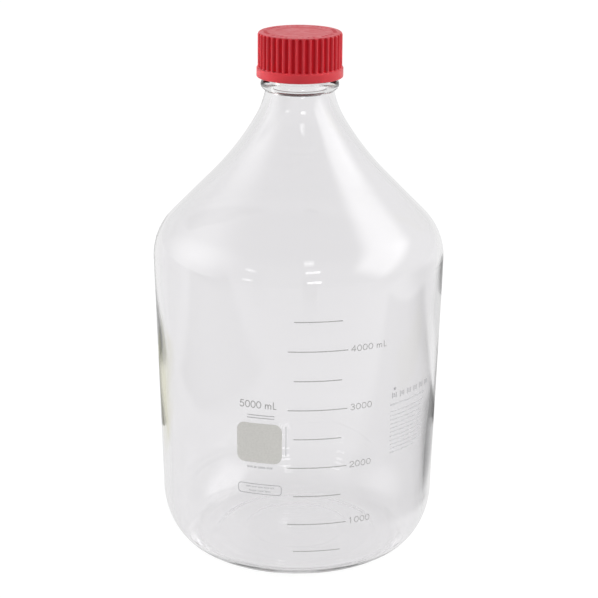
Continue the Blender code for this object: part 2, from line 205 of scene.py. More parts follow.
# Lights in the room: turn to the right, lift, lean, width, height, share that fades out, brightness.
SOFTBOXES = (
    (84.0, 33.0, -35.0, 78.0, 47.0, 0.6, 1.9),
    (-92.0, 22.0, 15.0, 76.0, 76.0, 1.0, 1.1),
    (12.5, 9.0, 0.0, 12.0, 4.0, 0.2, 5.0),
    (12.5, 29.0, 0.0, 12.0, 4.0, 0.2, 5.0),
    (-41.0, 8.0, 0.0, 8.0, 4.0, 0.3, 2.6),
    (-41.0, 26.0, 0.0, 8.0, 4.0, 0.3, 2.6),
    (10.6, 47.0, 0.0, 8.0, 9.0, 0.3, 2.6),
)
# Lamps: name, place, width and height, and power in watts.
LAMPS = (
    ("key", (1.1, -0.9, 1.5), (0.7, 1.0), 12.0),
    ("fill", (-1.3, -0.8, 1.2), (0.6, 0.9), 6.0),
)
CAP_SPOTS = (
    ("cap_left", (-1.04, 0.05, 0.42), 340.0),
    ("cap_right", (1.04, 0.05, 0.42), 120.0),
)
LAMP_TARGET = (0.0, 0.0, 0.2)
SPOT_TARGET = (0.0, 0.0, 0.318)
SPOT_CONE = 4.5
CAMERA_PLACE = (0.0004, -1.2242, 0.548)
CAMERA_TILT = 17.54
CAMERA_ROLL = 0.394
CAMERA_LENS = 121.9  # millimetres, on a sensor 36 mm wide
BOUNCES = 40
GLOSSY_BOUNCES = 32

# --- Mesh helpers -----------------------------------------------------------------------


def new_object(name, mesh, finish):
    mesh.materials.append(finish)
    made = bpy.data.objects.new(name, mesh)
    bpy.context.scene.collection.objects.link(made)
    return made


def lathe(name, profile, segments, finish, warp=None, sharp=40.0):
    """A closed turned solid. The profile starts and ends on the axis, or is a closed loop.

    warp(r, z, angle, row) moves a point and returns its new r and z.
    """
    on_axis = profile[0][0] == 0.0
    shape = bmesh.new()
    rings = []
    for row, (r, z) in enumerate(profile):
        if r == 0.0:
            rings.append([shape.verts.new((0.0, 0.0, z * MM))])
            continue
        ring = []
        for i in range(segments):
            angle = 2 * math.pi * i / segments
            moved_r, moved_z = warp(r, z, angle, row) if warp else (r, z)
            x = moved_r * math.sin(angle) * MM
            y = -moved_r * math.cos(angle) * MM
            ring.append(shape.verts.new((x, y, moved_z * MM)))
        rings.append(ring)
    pairs = list(zip(rings, rings[1:]))
    if not on_axis:
        pairs.append((rings[-1], rings[0]))
    for low, high in pairs:
        for i in range(segments):
            j = (i + 1) % segments
            if len(low) == 1:
                shape.faces.new((low[0], high[i], high[j]))
            elif len(high) == 1:
                shape.faces.new((low[i], low[j], high[0]))
            else:
                shape.faces.new((low[i], low[j], high[j], high[i]))
    bmesh.ops.recalc_face_normals(shape, faces=shape.faces)
    mesh = bpy.data.meshes.new(name)
    shape.to_mesh(mesh)
    shape.free()
    mesh.shade_smooth()
    mesh.set_sharp_from_angle(angle=math.radians(sharp))
    return new_object(name, mesh, finish)


def arc(centre, radius, start, end, steps):
    """Points on an arc; start and end are degrees from the first axis towards the second."""
    points = []
    for i in range(steps + 1):
        angle = math.radians(start + (end - start) * i / steps)
        points.append((centre[0] + radius * math.cos(angle), centre[1] + radius * math.sin(angle)))
    return points


def straight(start, end, steps):
    """The points after start on the way to end."""
    return [
        (start[0] + (end[0] - start[0]) * i / steps, start[1] + (end[1] - start[1]) * i / steps)
        for i in range(1, steps + 1)
    ]


def smooth_step(value):
    value = min(1.0, max(0.0, value))
    return value * value * (3 - 2 * value)


def ridge_height(z, angle, bottom_z, turns):
    """How far a helical ridge stands at this place, from 0 to THREAD_RADIUS.

    The helix starts at +X and climbs anticlockwise seen from above.
    """
    from_x = (angle - math.pi / 2) / (2 * math.pi) % 1.0
    best = 0.0
    for whole in range(int(turns) + 1):
        along = whole + from_x
        if along > turns:
            continue
        fade = min(1.0, along / THREAD_FADE, (turns - along) / THREAD_FADE)
        offset = abs(z - bottom_z - PITCH * along)
        if offset < THREAD_RADIUS:
            best = max(best, fade * math.sqrt(THREAD_RADIUS**2 - offset**2))
    return best


# --- Node helpers -----------------------------------------------------------------------


class Nodes:
    """Short ways to wire the nodes of a material or of the world."""

    def __init__(self, tree):
        self.tree = tree

    def node(self, kind, **values):
        made = self.tree.nodes.new("ShaderNode" + kind)
        for key, value in values.items():
            setattr(made, key, value)
        return made

    def link(self, source, target):
        self.tree.links.new(source, target)

    def maths(self, operation, first, second=0.0):
        """One calculation on two values, each a number or another node's output."""
        made = self.node("Math", operation=operation)
        for socket, value in zip(made.inputs, (first, second)):
            if isinstance(value, float):
                socket.default_value = value
            else:
                self.link(value, socket)
        return made.outputs["Value"]

    def ramp(self, value, low, high, start=0.35, end=0.65, kind="LINEAR"):
        """Maps value from start..end to low..high."""
        made = self.node("MapRange", interpolation_type=kind)
        numbers = {"From Min": start, "From Max": end, "To Min": low, "To Max": high}
        for name, number in numbers.items():
            made.inputs[name].default_value = number
        self.link(value, made.inputs["Value"])
        return made.outputs["Result"]

    def fade(self, value, low, high, start, end):
        """A ramp that eases in and out."""
        return self.ramp(value, low, high, start, end, "SMOOTHSTEP")

    def along(self, vector, axis):
        made = self.node("VectorMath", operation="DOT_PRODUCT")
        self.link(vector, made.inputs[0])
        made.inputs[1].default_value = axis
        return made.outputs["Value"]

    def distance(self, vector, scale=(1.0, 1.0, 1.0)):
        """The length of a vector whose parts are first scaled."""
        scaled = self.node("VectorMath", operation="MULTIPLY")
        self.link(vector, scaled.inputs[0])
        scaled.inputs[1].default_value = scale
        made = self.node("VectorMath", operation="LENGTH")
        self.link(scaled.outputs["Vector"], made.inputs[0])
        return made.outputs["Value"]

    def unseen(self, value):
        """1 where the camera sees it directly, and the value everywhere else."""
        return self.maths("MAXIMUM", self.node("LightPath").outputs["Is Camera Ray"], value)


class Finish(Nodes):
    """A Principled material with a few nodes that vary it over the surface."""

    def __init__(self, name, colour, roughness):
        self.material = bpy.data.materials.new(name)
        self.material.use_nodes = True
        super().__init__(self.material.node_tree)
        self.shader = self.tree.nodes["Principled BSDF"]
        self.set("Base Color", (*colour, 1.0))
        self.set("Roughness", roughness)
        self.place = self.node("TexCoord").outputs["Object"]

    def set(self, name, value):
        self.shader.inputs[name].default_value = value

    def drive(self, name, source):
        self.link(source, self.shader.inputs[name])

    def noise(self, scale, detail=3.0, stretch=(1.0, 1.0, 1.0)):
        """Noise over the object, scale in features per metre."""
        spread = self.node("Mapping")
        spread.inputs["Scale"].default_value = stretch
        self.link(self.place, spread.inputs["Vector"])
        made = self.node("TexNoise")
        made.inputs["Scale"].default_value = scale
        made.inputs["Detail"].default_value = detail
        self.link(spread.outputs["Vector"], made.inputs["Vector"])
        return made.outputs["Fac"]

    def colours(self, value, *stops):
        """A colour ramp through (place, colour) stops."""
        made = self.node("ValToRGB")
        elements = made.color_ramp.elements
        while len(elements) < len(stops):
            elements.new(0.5)
        for element, (position, colour) in zip(elements, stops):
            element.position = position
            element.color = (*colour, 1.0)
        self.link(value, made.inputs["Fac"])
        return made.outputs["Color"]

    def bump(self, value, distance, strength=1.0):
        made = self.node("Bump")
        made.inputs["Distance"].default_value = distance * MM
        made.inputs["Strength"].default_value = strength
        self.link(value, made.inputs["Height"])
        self.drive("Normal", made.outputs["Normal"])


def glass_finish():
    """Clear glass, faintly tinted in the wall and clearest in the thick neck."""
    finish = Finish("borosilicate_glass", WALL_TINT, 0.0)
    finish.set("Transmission Weight", 1.0)
    finish.set("IOR", GLASS_INDEX)
    height = finish.along(finish.place, (0.0, 0.0, 1.0))
    neck = finish.ramp(height, 0.0, 1.0, (COLLAR_Z - 4.5) * MM, (COLLAR_Z + 3.5) * MM)
    finish.drive("Base Color", finish.colours(neck, (0.0, WALL_TINT), (1.0, NECK_TINT)))
    smudges = finish.noise(38.0, 4.0)
    finish.drive("Roughness", finish.ramp(smudges, 0.0, 0.035, 0.55, 0.8))
    finish.bump(finish.noise(30.0, 1.0, (1.0, 1.0, 0.35)), 0.08, 0.35)
    return finish.material


def plastic_finish(name, dark, light, roughness, grain):
    finish = Finish(name, light, roughness)
    finish.drive("Base Color", finish.colours(finish.noise(55.0, 4.0), (0.3, dark), (0.7, light)))
    finish.drive("Roughness", finish.ramp(finish.noise(240.0), roughness - 0.06, roughness + 0.08))
    finish.bump(finish.noise(grain, 2.0), 0.03, 0.5)
    return finish.material


def cap_finish():
    """Moulded red plastic with painted light: paler crests and top as painted highlights, darker grooves
    between the ribs as painted shade.
    """
    finish = Finish("cap_plastic", CAP_RED, 0.42)
    from_axis = finish.distance(finish.place, (1.0, 1.0, 0.0))
    groove = RIB_RADIUS - GROOVE_DEPTH
    crest = finish.ramp(from_axis, 0.0, 0.6, (groove + 0.2) * MM, RIB_RADIUS * MM)
    height = finish.along(finish.place, (0.0, 0.0, 1.0))
    top = CAP_TOP_Z - STUD_HEIGHT
    lid = finish.ramp(height, 0.0, 1.0, (top - CAP_EDGE) * MM, (top - 0.1) * MM)
    # Painted light: crests and the top are painted paler as highlights, and the grooves darker as painted
    # shade. Noise adds a random mottle.
    painted_light_mask = finish.maths("MAXIMUM", crest, lid)
    painted_light_and_mottle = finish.maths("ADD", painted_light_mask, finish.ramp(finish.noise(55.0, 4.0), -0.08, 0.08))
    reds = finish.colours(painted_light_and_mottle, (0.05, GROOVE_SHADE_RED), (0.60, RIB_HIGHLIGHT_RED), (0.95, LID_HIGHLIGHT_RED))
    finish.drive("Base Color", reds)
    # Painted shade on reflections: the grooves reflect less than the crests.
    finish.drive("Specular IOR Level", finish.ramp(crest, 0.10, 0.75, 0.0, 1.0))
    finish.drive("Roughness", finish.ramp(finish.noise(240.0), 0.36, 0.50))
    finish.set("Sheen Weight", 0.10)
    finish.set("Subsurface Weight", 0.12)
    finish.set("Subsurface Radius", (0.002, 0.0004, 0.0003))
    finish.bump(finish.noise(2600.0, 2.0), 0.03, 0.5)
    return finish.material


def ring_finish():
    return plastic_finish("ring_plastic", (0.46, 0.020, 0.030), (0.54, 0.030, 0.040), 0.34, 2000.0)


def silicone_finish():
    return plastic_finish("silicone", (0.34, 0.030, 0.025), (0.42, 0.045, 0.035), 0.6, 3500.0)


def ptfe_finish():
    return plastic_finish("ptfe", (0.78, 0.77, 0.73), (0.84, 0.83, 0.79), 0.42, 3000.0)


def enamel_finish(name, dark, light, roughness=0.5):
    """Fired print: a dense film with fine pinholes and an uneven lay."""
    finish = Finish(name, light, roughness)
    lay = finish.noise(900.0, 4.0)
    finish.drive("Base Color", finish.colours(lay, (0.3, dark), (0.62, light)))
    finish.drive("Roughness", finish.ramp(finish.noise(400.0), roughness - 0.1, roughness + 0.1))
    finish.bump(lay, 0.02, 0.6)
    return finish.material


# --- Glass body -------------------------------------------------------------------------


def wall_radius(z):
    """Outer radius of the tapered wall, and of the heel below it."""
    share = (z - HEEL_HEIGHT) / (SHOULDER_Z - HEEL_HEIGHT)
    if share >= 0:
        return HEEL_TOP_RADIUS + (BODY_RADIUS - HEEL_TOP_RADIUS) * share
    drop = 1 - z / HEEL_HEIGHT
    return FOOT_RADIUS + (HEEL_TOP_RADIUS - FOOT_RADIUS) * math.sqrt(1 - drop * drop)


def shoulder_and_neck(thickness, neck_thickness):
    """The curve from the top of the wall to the collar, moved in by the glass thickness."""
    bends = [(SHOULDER_ARC, CONE_ANGLE, 22), (-SWEEP_ARC, SWEEP_ANGLE, 16), (-NECK_ARC, NECK_ANGLE, 12)]
    r, z, angle = BODY_RADIUS, SHOULDER_Z, 0.0
    path = [(r, z, angle)]
    for radius, end, steps in bends:
        end = math.radians(end)
        for i in range(1, steps + 1):
            turned_to = angle + (end - angle) * i / steps
            across = radius * (math.cos(angle) - math.cos(turned_to))
            along = radius * (math.sin(turned_to) - math.sin(angle))
            path.append((r - across, z + along, turned_to))
        r, z, angle = path[-1]
        if radius > 0:
            for i in range(1, 11):
                run = CONE_LENGTH * i / 10
                path.append((r - run * math.sin(angle), z + run * math.cos(angle), angle))
            r, z, angle = path[-1]
    points = []
    for r, z, angle in path:
        share = smooth_step((z - SHOULDER_Z) / (COLLAR_Z - SHOULDER_Z))
        depth = thickness + (neck_thickness - thickness) * share
        points.append((r - depth * math.cos(angle), z - depth * math.sin(angle)))
    return points


def heel(inner_radius, outer_radius, bottom_z, steps):
    """A quarter of an ellipse from a ring on the base up to the wall."""
    points = []
    for i in range(steps + 1):
        turn = math.pi / 2 * i / steps
        radius = inner_radius + (outer_radius - inner_radius) * math.sin(turn)
        points.append((radius, bottom_z + (HEEL_HEIGHT - bottom_z) * (1 - math.cos(turn))))
    return points


def bead(r, ring, width, height):
    """The rise of a faint moulded ring at this radius."""
    return height * math.exp(-(((r - ring) / width) ** 2))


def outside_of_base():
    """From the middle of the base out to the ring that it stands on."""
    inner_foot = FOOT_RADIUS - FOOT_WIDTH
    points = []
    for i in range(BASE_STEPS + 1):
        r = inner_foot * i / BASE_STEPS
        z = (PUSH_UP - FOOT_LIP) * (1 - smooth_step((r - PUSH_UP_FLAT) / (inner_foot - PUSH_UP_FLAT)))
        z += FOOT_LIP * smooth_step((inner_foot - r) / FOOT_LIP_WIDTH)
        points.append((r, z + bead(r, *BASE_BEAD)))
    return points


def inside_of_base():
    """From the ring of the inner floor back to its middle."""
    points = []
    for i in range(FLOOR_STEPS - 1, -1, -1):
        r = FLOOR_RADIUS * i / FLOOR_STEPS
        z = FLOOR_THICKNESS + PUSH_UP * (1 - smooth_step(r / FLOOR_RADIUS))
        points.append((r, z + bead(r, *FLOOR_BEAD)))
    return points


def glass_profile():
    """Once round the section of the bottle, from the middle of the base outside to inside."""
    points = outside_of_base()
    points += heel(FOOT_RADIUS, HEEL_TOP_RADIUS, 0.0, 34)
    points += straight(points[-1], (BODY_RADIUS, SHOULDER_Z), 40)
    points += shoulder_and_neck(0.0, 0.0)[1:]
    round_off = COLLAR_RADIUS - GLASS_ROOT
    points += arc((GLASS_ROOT, COLLAR_Z + COLLAR_HEIGHT / 2), round_off, -62, 70, 18)
    collar_top = COLLAR_Z + COLLAR_HEIGHT
    points += [(GLASS_ROOT + 0.5, collar_top + 0.25), (GLASS_ROOT, collar_top + 0.9)]
    points += straight(points[-1], (GLASS_ROOT, RIM_Z - RIM_LAND - 1.2), 56)
    points += [(RIM_RADIUS + 0.5, RIM_Z - RIM_LAND - 0.5), (RIM_RADIUS, RIM_Z - RIM_LAND)]
    half = (RIM_RADIUS - BORE_RADIUS) / 2
    points += straight(points[-1], (RIM_RADIUS, RIM_Z - half), 4)
    points += arc((RIM_RADIUS - half, RIM_Z - half), half, 0, 180, 14)[1:]
    points += straight(points[-1], (BORE_RADIUS, COLLAR_Z + 6.0), 16)
    inner = shoulder_and_neck(WALL, NECK_WALL)[::-1]
    points += straight(points[-1], inner[0], 5)
    points += inner[1:]
    wall_foot = heel(FLOOR_RADIUS, HEEL_TOP_RADIUS - HEEL_WALL, FLOOR_THICKNESS, 34)[::-1]
    points += straight(points[-1], (wall_foot[0][0], wall_foot[0][1]), 40)
    points += wall_foot[1:]
    points += inside_of_base()
    return points


def build_glass(finish):
    profile = glass_profile()
    turn_over = next(i for i, (r, z) in enumerate(profile) if z > RIM_Z - 0.01)

    def uneven(r, z, angle, row):
        """Adds the thread outside and the slight waviness of blown glass inside."""
        outside = row < turn_over
        if outside and GLASS_THREAD_Z - 2 < z < RIM_Z - RIM_LAND - 1:
            bulge = ridge_height(z, angle, GLASS_THREAD_Z, GLASS_TURNS)
            return max(r, GLASS_CREST - THREAD_RADIUS + bulge if bulge > 0 else r), z
        if outside or z < 12 or z > COLLAR_Z:
            return r, z
        ease = smooth_step((z - 12) / 25) * smooth_step((COLLAR_Z - z) / 25)
        wave = math.sin(3 * angle + z / 31) + 0.7 * math.sin(5 * angle - z / 17 + 1.3)
        wave += 0.6 * math.sin(2 * angle + z / 9.5 + 0.4) + 0.35 * math.sin(9 * angle + z / 13)
        return r + WAVINESS * ease * wave, z

    glass = lathe("glass", profile, GLASS_SEGMENTS, finish, uneven, sharp=60.0)
    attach(glass, "bottle")
    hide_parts("bottle_body")


# --- Cap, seal and pouring ring ---------------------------------------------------------


def cap_profile():
    """Once round the cap's section, from the middle of its top to the middle of its inside."""
    band_top = CAP_BOTTOM_Z + BAND_HEIGHT
    top = CAP_TOP_Z - STUD_HEIGHT
    floor = CAP_TOP_Z - CAP_RECESS_DEPTH
    points = [(0.0, floor)]
    points += straight(points[-1], (CAP_RECESS_RADIUS - 0.6, floor), 10)
    points += [(CAP_RECESS_RADIUS - 0.25, floor + 0.06), (CAP_RECESS_RADIUS, floor + 0.16)]
    points += [(CAP_RECESS_RADIUS + 0.25, top - 0.05), (CAP_RECESS_RADIUS + 0.6, top)]
    points += straight(points[-1], (RIB_RADIUS - CAP_EDGE - 0.4, top), 8)
    points += arc((RIB_RADIUS - CAP_EDGE, top - CAP_EDGE), CAP_EDGE, 90, 0, 16)
    points += straight(points[-1], (RIB_RADIUS, CAP_TOP_Z - 4.0), 18)
    points += straight(points[-1], (RIB_RADIUS, band_top + 1.6), 10)
    points += straight(points[-1], (RIB_RADIUS, band_top + 0.35), 8)
    points += arc((RIB_RADIUS + 0.35, band_top + 0.35), 0.35, 180, 270, 3)[1:]
    points += arc((BAND_RADIUS - 0.4, band_top - 0.4), 0.4, 90, 0, 5)
    points += straight(points[-1], (BAND_RADIUS, CAP_BOTTOM_Z + 0.5), 5)
    points += arc((BAND_RADIUS - 0.5, CAP_BOTTOM_Z + 0.5), 0.5, 0, -90, 5)[1:]
    points += straight(points[-1], (CAP_ROOT + 1.2, CAP_BOTTOM_Z), 3)
    points += [(CAP_ROOT + 0.9, CAP_BOTTOM_Z + 0.12), (CAP_ROOT + 0.1, CAP_BOTTOM_Z + 1.3)]
    points += [(CAP_ROOT, CAP_BOTTOM_Z + 1.7)]
    points += straight(points[-1], (CAP_ROOT, CAP_TOP_Z - CAP_PLATE - 0.6), 64)
    points += arc((CAP_ROOT - 0.6, CAP_TOP_Z - CAP_PLATE - 0.6), 0.6, 0, 90, 4)[1:]
    points += straight(points[-1], (0.0, CAP_TOP_Z - CAP_PLATE), 8)
    return points


def build_cap(finish):
    profile = cap_profile()
    band_top = CAP_BOTTOM_Z + BAND_HEIGHT
    groove_top = CAP_TOP_Z - STUD_HEIGHT - 0.1
    lowest_row = next(i for i, (r, z) in enumerate(profile) if z <= CAP_BOTTOM_Z)

    def ribbed(r, z, angle, row):
        if row > lowest_row:
            if CAP_BOTTOM_Z + 1.7 < z < CAP_TOP_Z - CAP_PLATE - 0.7 and r == CAP_ROOT:
                start = GLASS_THREAD_Z - PITCH / 2
                bulge = ridge_height(z, angle, start, CAP_TURNS)
                if bulge > 0:
                    return min(r, CAP_CREST + THREAD_RADIUS - bulge), z
            return r, z
        if r < CAP_RECESS_RADIUS + 4 or z < band_top:
            return r, z
        pitch_angle = 2 * math.pi / RIB_COUNT
        from_groove = (angle + pitch_angle / 2) % pitch_angle - pitch_angle / 2
        across = abs(from_groove) * RIB_RADIUS
        depth = GROOVE_DEPTH * (1 - smooth_step((across - GROOVE_BED) / (GROOVE_HALF_WIDTH - GROOVE_BED)))
        arch = GROOVE_HALF_WIDTH * (1 - math.sqrt(max(0.0, 1 - (across / GROOVE_HALF_WIDTH) ** 2)))
        head = smooth_step((groove_top - arch - z) / 0.55)
        foot = smooth_step((z - band_top - 0.05 - arch * 0.5) / 0.5)
        return r - depth * head * foot, z

    cap = lathe("cap", profile, CAP_SEGMENTS, finish, ribbed, sharp=55.0)
    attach(cap, "cap")
    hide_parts("screw_cap")
    build_cap_marks(finish)


def build_cap_marks(finish):
    """Small plain raised studs in a ring on the cap's top, in place of its moulded marks."""
    shape = bmesh.new()
    middle = Vector((STUD_RING, 0.0, CAP_TOP_Z - STUD_HEIGHT))
    for i in range(STUD_COUNT):
        if i % 10 in STUD_GAPS:
            continue
        turn = Matrix.Rotation(2 * math.pi * (i + 0.5) / STUD_COUNT, 4, "Z")
        length = 0.75 if i % 3 else 0.45
        sides = Vector((STUD_WIDTH * MM, length * MM, 1.98 * STUD_HEIGHT * MM, 1.0))
        place = turn @ Matrix.Translation(middle * MM) @ Matrix.Diagonal(sides)
        bmesh.ops.create_cube(shape, size=1.0, matrix=place)
    mesh = bpy.data.meshes.new("cap_marks")
    shape.to_mesh(mesh)
    shape.free()
    marks = new_object("cap_marks", mesh, finish)
    bevel = marks.modifiers.new("Soften", "BEVEL")
    bevel.width = 0.05 * MM
    bevel.segments = 2
    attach(marks, "cap")


def build_seal(disc_finish, facing_finish):
    """The soft disc and the inert film on its underside, both with softened edges."""
    top = CAP_TOP_Z - CAP_PLATE - GAP
    bottom = top - SEAL_THICKNESS
    disc = [(0.0, top)] + straight((0.0, top), (SEAL_RADIUS - 0.35, top), 6)
    disc += arc((SEAL_RADIUS - 0.35, top - 0.35), 0.35, 90, 0, 5)[1:]
    disc += arc((SEAL_RADIUS - 0.2, bottom + 0.2), 0.2, 0, -90, 4)
    disc += straight(disc[-1], (0.0, bottom), 6)
    film_top = bottom - GAP / 2
    film_bottom = film_top - FACING_THICKNESS
    film = [(0.0, film_top)] + straight((0.0, film_top), (SEAL_RADIUS - 0.1, film_top), 6)
    film += arc((SEAL_RADIUS - 0.2, film_bottom + 0.2), 0.2, 0, -90, 4)
    film += straight(film[-1], (0.0, film_bottom), 6)
    parts = (
        ("seal", disc, disc_finish, "seal_disc", "silicone"),
        ("film", film, facing_finish, "seal_facing", "ptfe"),
    )
    for name, profile, finish, node, slot in parts:
        piece = lathe(name, profile, SMALL_SEGMENTS, finish)
        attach(piece, "seal")
        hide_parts(node)


def build_pour_ring(finish):
    top = RIM_Z + GAP + RING_FLANGE
    under = RIM_Z + GAP
    hem = RIM_RADIUS + GAP
    sleeve = BORE_RADIUS - GAP
    profile = [(RING_BORE, RIM_Z - 1.0)]
    profile += arc((RING_BORE + 1.6, top - 1.6), 1.6, 180, 90, 8)
    profile += straight(profile[-1], (RING_RADIUS - 0.25, top), 5)
    profile += [(RING_RADIUS, top - 0.06), (RING_RADIUS - 0.05, top - 0.3), (RING_RADIUS - 0.35, top - 1.1)]
    profile += [(RING_RADIUS - 0.4, RIM_Z - RING_HEM + 0.3), (RING_RADIUS - 0.55, RIM_Z - RING_HEM)]
    profile += [(hem + 0.2, RIM_Z - RING_HEM), (hem, RIM_Z - RING_HEM + 0.2)]
    profile += [(hem, under - 0.4), (hem - 0.2, under), (sleeve + 0.3, under), (sleeve, under - 0.3)]
    profile += [(sleeve - 0.5, RIM_Z - RING_SLEEVE + 0.2), (sleeve - 0.7, RIM_Z - RING_SLEEVE)]
    profile += [(RING_BORE + 0.4, RIM_Z - RING_SLEEVE), (RING_BORE + 0.28, RIM_Z - RING_SLEEVE + 0.2)]
    ring = lathe("pouring_ring", profile, SMALL_SEGMENTS, finish)
    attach(ring, "bottle")
    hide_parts("pour_ring")


# --- Enamel -----------------------------------------------------------------------------


def bar(left, right, z, height):
    low = z - height / 2
    high = z + height / 2
    return [(left, low), (right, low), (right, high), (left, high)]


def rounded_box(left, right, bottom, top, corner, steps=8):
    outline = []
    for x, z, quarter in ((right, top, 0), (left, top, 1), (left, bottom, 2), (right, bottom, 3)):
        cx = x - corner if quarter in (0, 3) else x + corner
        cz = z - corner if quarter in (0, 1) else z + corner
        outline += arc((cx, cz), corner, quarter * 90, quarter * 90 + 90, steps)
    return outline


def pen_line(points, width):
    """Outlines that make a pen line with round ends through (x, z) points: quads and two caps."""
    path = [Vector(p) for p in points]
    half = width / 2
    headings = []
    for i in range(len(path)):
        before = path[max(0, i - 1)]
        after = path[min(len(path) - 1, i + 1)]
        headings.append((after - before).normalized())
    sides = [Vector((-h.y, h.x)) * half for h in headings]
    left = [tuple(p + side) for p, side in zip(path, sides)]
    right = [tuple(p - side) for p, side in zip(path, sides)]
    outlines = [[left[i], left[i + 1], right[i + 1], right[i]] for i in range(len(path) - 1)]
    if (path[0] - path[-1]).length < 1e-6:
        return outlines
    for tip, heading in ((path[0], -headings[0]), (path[-1], headings[-1])):
        facing = math.degrees(math.atan2(heading.y, heading.x))
        outlines.append(arc(tip, half, facing + 90, facing - 90, 6))
    return outlines


def glyph(character):
    """Pen strokes of a character in a box one wide and one tall."""
    bowl = arc((0.5, 0.5), 0.5, 90, 450, 28)
    strokes = {
        "0": [bowl],
        "1": [[(0.22, 0.80), (0.55, 1.0), (0.55, 0.0)]],
        "2": [
            [(x, 0.72 + (z - 0.72) * 0.58) for x, z in arc((0.5, 0.72), 0.46, 165, -38, 16)]
            + [(0.30, 0.20), (0.04, 0.0), (1.0, 0.0)]
        ],
        "3": [
            [(x, 0.75 + (z - 0.75) * 0.60) for x, z in arc((0.47, 0.75), 0.42, 150, -90, 14)],
            [(x, 0.25 + (z - 0.25) * 0.56) for x, z in arc((0.48, 0.25), 0.48, 90, -150, 14)],
        ],
        "4": [[(0.78, 0.0), (0.78, 1.0), (0.0, 0.28), (1.0, 0.28)]],
        "5": [
            [(0.90, 1.0), (0.22, 1.0), (0.12, 0.55)],
            [(x, 0.32 + (z - 0.32) * 0.68) for x, z in arc((0.45, 0.32), 0.48, 130, -150, 16)],
        ],
        "m": [
            [(0.0, 0.0), (0.0, 0.62)],
            [(0.0, 0.36)] + arc((0.25, 0.38), 0.24, 180, 0, 10) + [(0.49, 0.0)],
            [(0.49, 0.36)] + arc((0.75, 0.38), 0.24, 180, 0, 10) + [(0.99, 0.0)],
        ],
        "L": [[(0.05, 1.0), (0.05, 0.0), (0.75, 0.0)]],
    }
    return strokes[character]


def split_corners(points):
    """Breaks a stroke where it turns sharply, so that each piece keeps its width."""
    runs = [[points[0]]]
    for i in range(1, len(points)):
        runs[-1].append(points[i])
        if i + 1 < len(points):
            a = Vector(points[i]) - Vector(points[i - 1])
            b = Vector(points[i + 1]) - Vector(points[i])
            if a.length > 0 and b.length > 0 and a.angle(b) > math.radians(40):
                runs.append([points[i]])
    return runs


def written(text, x, z, height, width, pitch, stroke):
    """Outlines of the pen strokes of a short text."""
    outlines = []
    for character in text:
        if character == " ":
            x += pitch * 0.55
            continue
        wide = width * (1.25 if character == "m" else 0.85 if character in "L1" else 1.0)
        for points in glyph(character):
            placed = [(x + px * wide, z + pz * height) for px, pz in points]
            for run in split_corners(placed):
                outlines += pen_line(run, stroke)
        x += pitch + (width * 0.45 if character == "m" else 0.0)
    return outlines


def lay_on_glass(node, outlines, finish):
    """A film inside flat (arc, z) outlines, bent round the wall. It replaces the CAD node."""
    shape = bmesh.new()
    for outline in outlines:
        verts = [shape.verts.new((x, 0.0, z)) for x, z in outline]
        shape.faces.new(verts)
    bmesh.ops.remove_doubles(shape, verts=shape.verts, dist=1e-3)
    bmesh.ops.triangulate(shape, faces=shape.faces)
    left = min(v.co.x for v in shape.verts)
    right = max(v.co.x for v in shape.verts)
    cuts = int((right - left) / INK_STEP)
    for i in range(1, cuts + 1):
        cut = (left + (right - left) * i / (cuts + 1), 0, 0)
        everything = shape.verts[:] + shape.edges[:] + shape.faces[:]
        bmesh.ops.bisect_plane(shape, geom=everything, dist=1e-4, plane_co=cut, plane_no=(1, 0, 0))
    for face in shape.faces:
        if face.normal.y > 0:
            face.normal_flip()
    for v in shape.verts:
        surface = wall_radius(v.co.z) + INK_LIFT
        turn = v.co.x / surface
        v.co = Vector((surface * math.sin(turn), -surface * math.cos(turn), v.co.z)) * MM
    name = "ink_" + node
    mesh = bpy.data.meshes.new(name)
    shape.to_mesh(mesh)
    shape.free()
    film = new_object(name, mesh, finish)
    thick = film.modifiers.new("Film", "SOLIDIFY")
    thick.thickness = INK_THICKNESS * MM
    thick.offset = 1.0
    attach(film, "bottle")
    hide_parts(node)


def mark_z(volume):
    return MARK_FIRST_Z + MARK_SPACING * (volume / 500 - 1)


def words(left, right, z, height, seed):
    """A broken line of plain dashes, which stands for a line of small print."""
    outlines = []
    x = left
    step = seed
    while x < right - 1.0:
        step = (step * 7 + 3) % 11
        end = min(right, x + 1.6 + 0.34 * step)
        outlines.append(bar(x, end, z, height))
        x = end + 0.55
    return outlines


def build_scale(ink):
    for volume in MARK_VOLUMES:
        left, right = LONG_MARK if volume % 1000 == 0 else SHORT_MARK
        line = bar(left, right, mark_z(volume), MARK_WIDTH)
        lay_on_glass(f"scale_line_{volume:04d}", [line], ink)
        if volume % 1000 == 0:
            text = f"{volume} mL" if volume == 4000 else str(volume)
            z = mark_z(volume) - DIGIT_DROP
            outlines = written(text, DIGIT_X, z, DIGIT_HEIGHT, DIGIT_WIDTH, DIGIT_PITCH, STROKE)
            lay_on_glass(f"scale_number_{volume}", outlines, ink)
    size = (CAPACITY_HEIGHT, CAPACITY_WIDTH, CAPACITY_PITCH, CAPACITY_STROKE)
    lay_on_glass("capacity_mark", written("5000 mL", CAPACITY_X, CAPACITY_Z, *size), ink)


